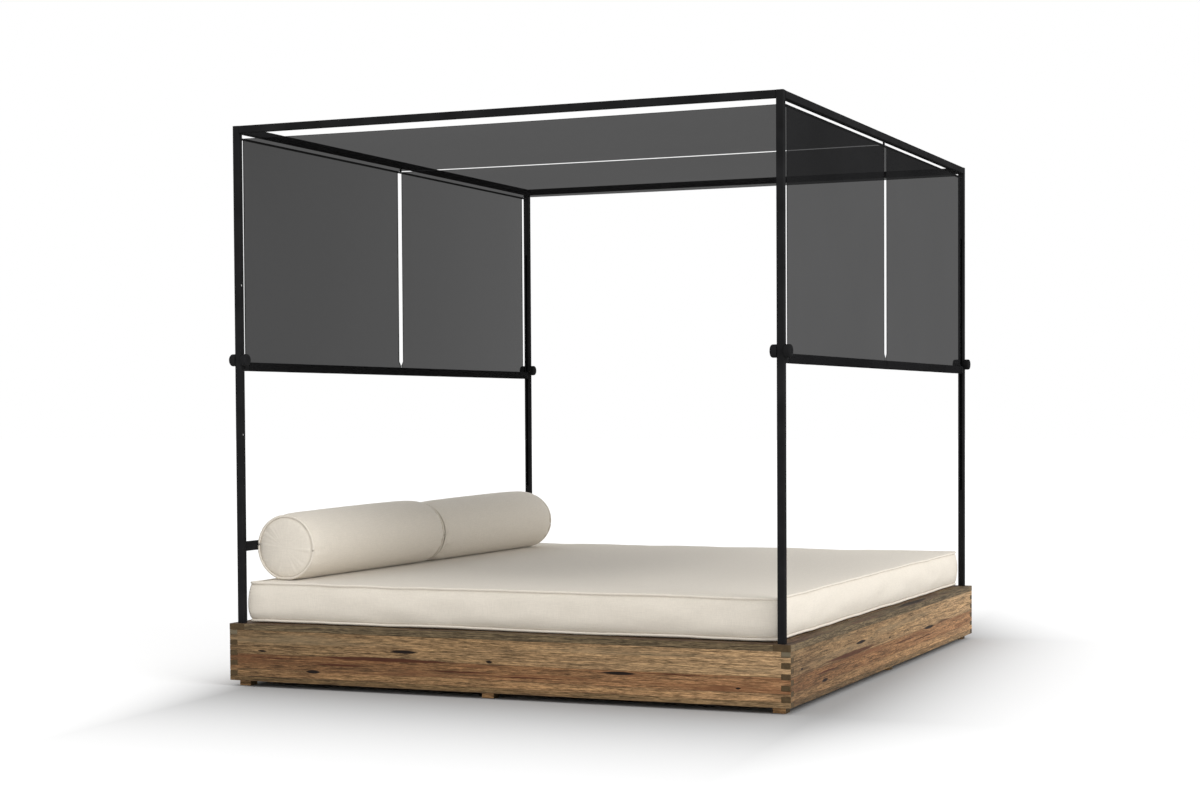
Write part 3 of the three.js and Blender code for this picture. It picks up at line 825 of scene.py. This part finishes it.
AROUND = 112
BOLSTER_STEP = 0.0105
DISC_ROWS = 9
END_CROWN = 0.008
CROWN_KEPT = 0.28
BOLSTER_SWELL = 0.007
BODY_INSET = 0.0025
SEAM_INSET = 0.0065
SEAM_WAVE = 0.0012
SEAM_WAVES = (18, 3)
BEAD_PROUD_SHARE = 0.8
CONTACT_GAP = 0.0006

# Both bolsters are the same roll, turned about its length by these angles in radians
BOLSTER_TURNS = (("bolster_front", 0.0), ("bolster_rear", 2.4))

# Swelling along a roll: shares of its length over which it rises and falls, and its greatest value
SLOW_RISE = 0.8
SHARP_FALL = 0.07
FULLEST = 0.597

# Puckers along the seams: depth, reach, start, waves a metre and what keeps the two ends apart
PUCKER = 0.0070
PUCKER_REACH = 0.032
PUCKER_START = 0.005
GATHER_WAVES = 62
END_SEED = 3

# Cloth simulation: unevenness of its start, filling pressure and frames
ROUGH_START = 0.0007
ROUGH_FINE_WAVES = 55
ROUGH_BROAD_WAVES = 14
ROUGH_BROAD_SHARE = 1.5
PRESSURE = 500
CLOTH_QUALITY = 5
CLOTH_BENDING = 0.05
SIMULATION_FRAMES = 22
DRAWN_FRAME = 9


def fullness(share):
    """Swelling along a roll from its front seam to its rear seam, 1 where it is fullest."""
    share = max(0.0, min(1.0, share))
    return (1 - math.exp(-share / SLOW_RISE)) * (1 - math.exp((share - 1) / SHARP_FALL)) / FULLEST


def bolster_mesh(length, radius):
    """Vertices and faces of a closed roll along Y, and the vertices on its two seams."""
    rings, vertices, seam = [], [], []
    half = length / 2
    for r in range(1, DISC_ROWS + 1):
        share = r / DISC_ROWS
        rings.append((radius * share, -half + END_CROWN * share ** 2))
    rows = round((length - 2 * END_CROWN) / BOLSTER_STEP)
    for r in range(1, rows):
        body = radius + (BOLSTER_SWELL - BODY_INSET) * fullness(r / rows)
        rings.append((body, -half + END_CROWN + (length - 2 * END_CROWN) * r / rows))
    rings += [(ring_radius, -along) for ring_radius, along in reversed(rings[:DISC_ROWS])]
    seam_rings = (DISC_ROWS - 1, len(rings) - DISC_ROWS)
    for r, (ring_radius, along) in enumerate(rings):
        for k in range(AROUND):
            angle = 2 * math.pi * k / AROUND
            if r in seam_rings:
                seam.append(len(vertices))
            vertices.append(Vector((ring_radius * math.cos(angle), along, ring_radius * math.sin(angle))))
    faces = ring_faces(len(rings), AROUND, flip=True)
    start, end = len(vertices), len(vertices) + 1
    vertices += [Vector((0, -half, 0)), Vector((0, half, 0))]
    last = (len(rings) - 1) * AROUND
    for k in range(AROUND):
        j = (k + 1) % AROUND
        faces.append((start, k, j))
        faces.append((end, last + j, last + k))
    return vertices, faces, seam


def swell(vertices, faces, drawn):
    """Cloth simulation: the filling pushes out while the seam vertices are drawn to their places.

    drawn gives the place of each seam vertex by its number."""
    start = []
    for point in vertices:
        fine = noise.noise_vector(point * ROUGH_FINE_WAVES)
        broad = noise.noise_vector(point * ROUGH_BROAD_WAVES) * ROUGH_BROAD_SHARE
        start.append(point + (fine + broad) * ROUGH_START)
    work = make_object("cushion_work", start, faces, None)
    work.vertex_groups.new(name="seam").add(list(drawn), 1.0, "REPLACE")
    work.shape_key_add(name="Basis")
    key = work.shape_key_add(name="drawn")
    for number, place in drawn.items():
        key.data[number].co = place
    key.value = 0.0
    key.keyframe_insert("value", frame=1)
    key.value = 1.0
    key.keyframe_insert("value", frame=DRAWN_FRAME)
    cloth = work.modifiers.new("cloth", "CLOTH")
    settings = cloth.settings
    settings.quality = CLOTH_QUALITY
    settings.use_pressure = True
    settings.uniform_pressure_force = PRESSURE
    settings.vertex_group_mass = "seam"
    settings.bending_stiffness = CLOTH_BENDING
    settings.effector_weights.gravity = 0
    cloth.point_cache.frame_start = 1
    cloth.point_cache.frame_end = SIMULATION_FRAMES
    for number in range(1, SIMULATION_FRAMES + 1):
        bpy.context.scene.frame_set(number)
    graph = bpy.context.evaluated_depsgraph_get()
    swollen = bpy.data.meshes.new_from_object(work.evaluated_get(graph))
    points = [v.co.copy() for v in swollen.vertices]
    bpy.data.meshes.remove(swollen)
    keys = work.data.shape_keys
    bpy.data.actions.remove(keys.animation_data.action)
    bpy.data.objects.remove(work)
    bpy.context.scene.frame_set(1)
    return points


def gathered(point, seam_y, rim, seed):
    """Small folds that run out from a seam, across it on the roll and inward on its ends."""
    radius = math.hypot(point.x, point.z)
    on_end = abs(point.y) > seam_y
    off = rim - radius if on_end else seam_y - abs(point.y)
    if radius < 0.001 or off < 0:
        return point
    waves = rim / radius * GATHER_WAVES
    side = math.copysign(END_SEED, point.y)
    fold = noise.noise(Vector((point.x * waves, point.z * waves, seed + side)))
    depth = PUCKER * fold * math.exp(-off / PUCKER_REACH) * (1 - math.exp(-off / PUCKER_START))
    if on_end:
        return point + Vector((0, math.copysign(depth, point.y), 0))
    return point + Vector((point.x, 0, point.z)) * (depth / radius)


def build_bolsters(fabric):
    low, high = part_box("bolster_front")
    length, radius = high.y - low.y, (high.z - low.z) / 2 - BOLSTER_SWELL
    rim, seam_y = radius - SEAM_INSET, length / 2 - END_CROWN
    vertices, faces, seam = bolster_mesh(length, radius)
    drawn = {}
    for number in seam:
        point = vertices[number]
        reach = math.hypot(point.x, point.z)
        around, along = SEAM_WAVES
        place = Vector((point.x * around, point.z * around, point.y * along))
        scale = (rim + SEAM_WAVE * noise.noise(place)) / reach
        drawn[number] = Vector((point.x * scale, point.y, point.z * scale))
    points = swell(vertices, faces, drawn)
    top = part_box("mattress")[1].z
    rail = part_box("backrest_rail")[1].x
    for name, turn in BOLSTER_TURNS:
        low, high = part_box(name)
        centre = Vector((low.x + radius, (low.y + high.y) / 2, low.z + radius))
        spin = Matrix.Rotation(turn, 3, "Y")
        floor = top - centre.z + CONTACT_GAP
        back = rail - centre.x + CONTACT_GAP
        placed = []
        for point in points:
            over = abs(point.y) - seam_y
            along = math.copysign(seam_y + over * CROWN_KEPT, point.y) if over > 0 else point.y
            lift = BOLSTER_SWELL * fullness((point.y + seam_y) / (2 * seam_y))
            turned = spin @ gathered(Vector((point.x, along, point.z)), seam_y, rim, turn)
            turned.x = max(turned.x + lift, back)
            turned.z = max(turned.z + lift, floor)
            placed.append(centre + turned)
        roll = make_object(f"{name}_cushion", placed, faces, fabric)
        subdivide = roll.modifiers.new("finer", "SUBSURF")
        subdivide.levels = 1
        subdivide.render_levels = 1
        rings = []
        for ring in (seam[:AROUND], seam[AROUND:]):
            loop = []
            for number in ring:
                turned = spin @ drawn[number]
                outward = Vector((turned.x, 0, turned.z)).normalized()
                turned += outward * PIPING_RADIUS * BEAD_PROUD_SHARE
                turned.x = max(turned.x, back + PIPING_RADIUS)
                turned.z = max(turned.z, floor + PIPING_RADIUS)
                loop.append(centre + turned)
            rings.append(piping_along(loop))
        piping = make_object(f"{name}_piping", *merged(rings), fabric)
        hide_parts(name)
        for piece in (roll, piping):
            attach(piece, name)


# Shade cloth

HEM = 0.007
HEM_LIFT = 0.0007
HEM_FOLD_SHARE = 0.1
CLOTH_HALF = 0.0005
CLOTH_STEP = 0.03
WRAP_STEPS = 6
CEILING_STEPS = 40
CEILING_SAG = 0.003

# Side drops: rows above the slit's taper, in it and below it, and how far they go down over the pocket
DROP_ROWS = (26, 4, 2)
SLIT_CLOSED = 0.009
SLIT_TAPER = 0.016
POCKET_LAP = 0.0010

SLEEVE_WALL = 0.0006
SLEEVE_SLACK = 0.0001
SLEEVE_CORNER = 0.0045
SLEEVE_CORNER_STEPS = 5
SLEEVE_ROWS = 60
SLEEVE_RIPPLE = 0.02
RIPPLE_WAVES = 9
RIPPLE_TURN = 0.4


def strip_mesh(path, edge_low, edge_high):
    """Single cloth surface swept along a path of (x, z), between two Y edges, its hems folded back.

    edge_low and edge_high give the Y of each edge at a height."""
    fold = HEM * HEM_FOLD_SHARE
    vertices, faces = [], []
    count = None
    for i, (px, pz) in enumerate(path):
        before, after = path[max(i - 1, 0)], path[min(i + 1, len(path) - 1)]
        tangent = Vector((after[0] - before[0], 0, after[1] - before[1])).normalized()
        normal = Vector((-tangent.z, 0, tangent.x))
        y0, y1 = edge_low(pz), edge_high(pz)
        count = count or max(2, round((y1 - y0) / CLOTH_STEP))
        row = [(y0 + HEM, 1), (y0 + fold, 1), (y0, 0.5)]
        row += [(y0 + fold + (y1 - y0 - 2 * fold) * k / count, 0) for k in range(count + 1)]
        row += [(y1, 0.5), (y1 - fold, 1), (y1 - HEM, 1)]
        for y, lift in row:
            vertices.append(Vector((px, y, pz)) + normal * (HEM_LIFT * lift))
    width = len(vertices) // len(path)
    for i in range(len(path) - 1):
        for k in range(width - 1):
            a = i * width + k
            faces.append((a, a + 1, a + 1 + width, a + width))
    return vertices, faces


def build_cloth(fabrics):
    for end, sign in ENDS:
        low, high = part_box(f"ceiling_cloth_{end}")
        y0, y1 = low.y, high.y
        rod_x = middle_of("rod_right").x
        rod_z = low.z
        radius = high.x - rod_x - CLOTH_HALF
        wrap = []
        for i in range(WRAP_STEPS + 1):
            angle = math.pi / 2 * i / WRAP_STEPS
            wrap.append((rod_x + radius * math.cos(angle), rod_z + radius * math.sin(angle)))
        path = list(wrap)
        for i in range(1, CEILING_STEPS):
            x = rod_x * (1 - 2 * i / CEILING_STEPS)
            sag = CEILING_SAG * (1 - (x / rod_x) ** 2)
            path.append((x, rod_z + radius - sag))
        path += [(-x, z) for x, z in reversed(wrap)]
        vertices, faces = strip_mesh(path, lambda z: y0, lambda z: y1)
        ceiling = make_object(f"ceiling_sheet_{end}", vertices, faces, fabrics["right"])
        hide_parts(f"ceiling_cloth_{end}")
        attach(ceiling, "root")
        for side, facing in SIDES:
            build_drop(side, facing, end, sign, rod_z, fabrics[side])
            build_sleeve(side, end, fabrics[side])


def build_drop(side, facing, end, sign, rod_z, fabric):
    """Side drop from the rod down over the hem pocket; its slit narrows near the bar."""
    low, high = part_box(f"drop_cloth_{side}_{end}")
    x = (low.x + high.x) / 2
    sleeve_low, sleeve_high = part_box(f"hem_sleeve_{side}_{end}")
    bottom = sleeve_high.z - POCKET_LAP
    outer = sign * max(abs(low.y), abs(high.y))
    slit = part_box(f"ceiling_cloth_{end}")[0 if sign > 0 else 1].y
    joint = sign * min(abs(sleeve_low.y), abs(sleeve_high.y))
    closed = low.z + SLIT_CLOSED
    open_at = closed + SLIT_TAPER
    levels = (rod_z, open_at, closed, bottom)
    heights = [rod_z]
    for start, stop, rows in zip(levels, levels[1:], DROP_ROWS):
        heights += [start + (stop - start) * i / rows for i in range(1, rows + 1)]

    def slit_y(z):
        share = min(1.0, max(0.0, (z - closed) / (open_at - closed)))
        return joint + (slit - joint) * share

    def outer_y(z):
        return outer

    path = [(x, z) for z in heights]
    if facing < 0:
        path.reverse()
    edges = (outer_y, slit_y) if sign < 0 else (slit_y, outer_y)
    drop = make_object(f"drop_sheet_{side}_{end}", *strip_mesh(path, *edges), fabric)
    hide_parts(f"drop_cloth_{side}_{end}")
    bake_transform(drop)


def build_sleeve(side, end, fabric):
    """Hem pocket: a loop of cloth round the bar with soft corners, sewn shut above."""
    low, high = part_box(f"hem_sleeve_{side}_{end}")
    centre = (low + high) / 2
    half_x, half_z = (high.x - low.x) / 2 - SLEEVE_SLACK, (high.z - low.z) / 2 - SLEEVE_SLACK
    corners = [("corner", quarter, i / SLEEVE_CORNER_STEPS)
               for quarter in range(4) for i in range(SLEEVE_CORNER_STEPS + 1)]
    outer, inner = (rounded_loop(half_x - wall, half_z - wall, SLEEVE_CORNER - wall, corners)
                    for wall in (0.0, SLEEVE_WALL))
    vertices, faces = [], []
    for r in range(SLEEVE_ROWS + 1):
        y = low.y + (high.y - low.y) * r / SLEEVE_ROWS
        for loop in (outer, inner):
            for k, (px, pz) in enumerate(loop):
                place = Vector((y * RIPPLE_WAVES, k * RIPPLE_TURN, centre.x))
                ripple = SLEEVE_RIPPLE * noise.noise(place)
                vertices.append(Vector((centre.x + px * (1 + ripple), y, centre.z + pz * (1 + ripple))))
    count = len(outer)
    width = 2 * count
    for r in range(SLEEVE_ROWS):
        for k in range(count):
            j = (k + 1) % count
            a, b = r * width, (r + 1) * width
            faces.append((a + k, a + j, b + j, b + k))
            faces.append((a + count + k, b + count + k, b + count + j, a + count + j))
    last = SLEEVE_ROWS * width
    for k in range(count):
        j = (k + 1) % count
        faces.append((k, count + k, count + j, j))
        faces.append((last + k, last + j, last + count + j, last + count + k))
    sleeve = make_object(f"hem_pocket_{side}_{end}", vertices, faces, fabric)
    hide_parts(f"hem_sleeve_{side}_{end}")
    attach(sleeve, f"{side}_bar")


# Knobs and pins: radii, and distances along the axis from the middle of the post

KNOB_SEGMENTS = 72
KNOB_FACE = 0.0128
KNOB_LENGTH = 0.022
KNOB_BACK_ROUND = 0.0015
KNOB_BACK_STEPS = 3
KNOB_RIM_ROUND = 0.0068
KNOB_RIM_STEPS = 6
KNOB_CREASE_ANGLE = 50

# Dished face of a knob: radius and depth of each edge
KNOB_DISH = ((0.0098, 0.0), (0.0090, 0.0003), (0.0078, 0.0015), (0.0042, 0.0015), (0.0040, 0.0011),
             (0.0015, 0.0011))

# Shaft of a pin with its bevelled end, and the bore of the inner knob that screws onto it
PIN_PROFILE = ((0.0012, -0.0288), (0.0036, -0.0288), (0.004, -0.0284), (0.004, KNOB_FACE))
BORE_PROFILE = ((0.0012, 0.0291), (0.0043, 0.0291), (0.0043, KNOB_FACE))


def revolve_x(profile, place, flip):
    """Vertices and faces of a profile of (radius, distance) turned about an X axis through place."""
    vertices = []
    for radius, along in profile:
        for k in range(KNOB_SEGMENTS):
            angle = 2 * math.pi * k / KNOB_SEGMENTS
            vertices.append((place.x + flip * along, place.y + radius * math.cos(angle) * flip,
                             place.z + radius * math.sin(angle)))
    faces = ring_faces(len(profile), KNOB_SEGMENTS, flip=True)
    faces.append(tuple(range(KNOB_SEGMENTS)))
    last = (len(profile) - 1) * KNOB_SEGMENTS
    faces.append(tuple(reversed(range(last, last + KNOB_SEGMENTS))))
    return vertices, faces


def quarter_round(radius, centre, start, steps):
    """Quarter round of (radius, distance) points about a centre."""
    x, y = centre
    angles = [start + math.pi / 2 * i / steps for i in range(steps + 1)]
    return [(x + radius * math.cos(angle), y + radius * math.sin(angle)) for angle in angles]


def knob_profile(radius):
    """From the face on the post, over the rounded rim, to the shallow dish."""
    back, rim, front = KNOB_BACK_ROUND, KNOB_RIM_ROUND, KNOB_FACE + KNOB_LENGTH
    points = quarter_round(back, (radius - back, KNOB_FACE + back), -math.pi / 2, KNOB_BACK_STEPS)
    points += quarter_round(rim, (radius - rim, front - rim), 0.0, KNOB_RIM_STEPS)
    return points + [(edge, front - depth) for edge, depth in KNOB_DISH]


def build_knobs(plastic):
    for end, _ in ENDS:
        for side, sx in SIDES:
            name = f"{end}_{side}"
            pin_low, pin_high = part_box(f"pin_{name}")
            place = middle_of(f"pin_{name}")
            place.x = middle_of(f"rod_{side}").x
            rim = knob_profile((pin_high.z - pin_low.z) / 2)
            for kind, start, flip in (("pin", PIN_PROFILE, sx), ("knob", BORE_PROFILE, -sx)):
                vertices, faces = revolve_x([*start, *rim], place, flip)
                piece = make_object(f"{kind}_{name}_turned", vertices, faces, plastic)
                piece.data.set_sharp_from_angle(angle=math.radians(KNOB_CREASE_ANGLE))
                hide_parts(f"{kind}_{name}")
                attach(piece, f"{kind}_{name}")


# Studio

FLOOR_REACH = 60
FLOOR_PAINT = (0.86, 0.86, 0.86, 1)

# What the camera sees of the floor: grey beside the base, white from the reach of its shadow on
SHADOW_PAINT = (0.41, 0.41, 0.41, 1)
SHADOW_REACH = ((0.215, 0.358), (0.818, 0.832))
SHADOW_LEAN = 0.07
SHADOW_EASE = 1.375
GLOW = 0.62

# Wide soft lights: name, direction they shine from, spread in degrees and strength
WORLD_LIGHT = 1.0
LIGHTS = (("side_light", (0.80, -0.20, 0.55), 30, 1.3), ("low_light", (0.95, -0.25, 0.06), 20, 0.32))


def build_stage():
    """Pale floor; what the camera sees of it carries the soft shadow round the base."""
    mesh = bpy.data.meshes.new("floor")
    r = FLOOR_REACH
    mesh.from_pydata([(-r, -r, 0), (r, -r, 0), (r, r, 0), (-r, r, 0)], [], [(0, 1, 2, 3)])
    floor = bpy.data.objects.new("floor", mesh)
    collection.objects.link(floor)
    paint = Finish("floor_paint", Roughness=0.9, Specular_IOR_Level=0.0)
    lean = paint.math("MULTIPLY", paint.axis(1), SHADOW_LEAN)
    sides = ((paint.math("ADD", paint.axis(0), lean), cad_high.x), (paint.axis(1), cad_high.y))
    shares = []
    for (axis, half), (reach_before, reach_after) in zip(sides, SHADOW_REACH):
        before = paint.math("DIVIDE", paint.math("SUBTRACT", -half, axis), reach_before)
        after = paint.math("DIVIDE", paint.math("SUBTRACT", axis, half), reach_after)
        shares.append(paint.math("MAXIMUM", paint.math("MAXIMUM", before, after), 0.0))
    distance = paint.math("ADD", *shares)
    seen = paint.add("ShaderNodeLightPath", output="Is Camera Ray")
    paint.set("Base Color", paint.mix(seen, FLOOR_PAINT, SHADOW_PAINT))
    shade = paint.math("EXPONENT", paint.math("MULTIPLY", paint.math("POWER", distance, SHADOW_EASE), -1.0))
    amount = paint.math("MULTIPLY", paint.math("MULTIPLY", paint.math("SUBTRACT", 1.0, shade), GLOW), seen)
    glow = paint.add("ShaderNodeEmission", {"Color": (1, 1, 1, 1), "Strength": amount})
    both = paint.add("ShaderNodeAddShader", {0: paint.shader.outputs[0], 1: glow})
    paint.tree.links.new(both, paint.output.inputs["Surface"])
    mesh.materials.append(paint.material)


def build_light():
    world = bpy.data.worlds.new("studio")
    bpy.context.scene.world = world
    world.use_nodes = True
    background = world.node_tree.nodes["Background"]
    background.inputs["Color"].default_value = (1, 1, 1, 1)
    background.inputs["Strength"].default_value = WORLD_LIGHT
    for name, toward, spread, strength in LIGHTS:
        data = bpy.data.lights.new(name, "SUN")
        data.angle = math.radians(spread)
        data.energy = strength
        lamp = bpy.data.objects.new(name, data)
        collection.objects.link(lamp)
        lamp.rotation_mode = "QUATERNION"
        lamp.rotation_quaternion = Vector(toward).to_track_quat("Z", "Y")


make_camera()
bpy.context.scene.view_settings.view_transform = "Standard"
finish_cad_nodes()
canvas = cover_fabric()
build_mattress(canvas)
build_bolsters(canvas)
# The left cloth is a shaded copy of the right one: painted shade, lessening toward the rear as painted
# light
build_cloth({"left": shade_fabric("shade_screen_left_painted_shade", *SCREEN_COVER["left"]),
             "right": shade_fabric("shade_screen", *SCREEN_COVER["right"])})
build_knobs(coat_finish("knob_moulding", low=0.66, high=0.80, grain=900))
build_stage()
build_light()
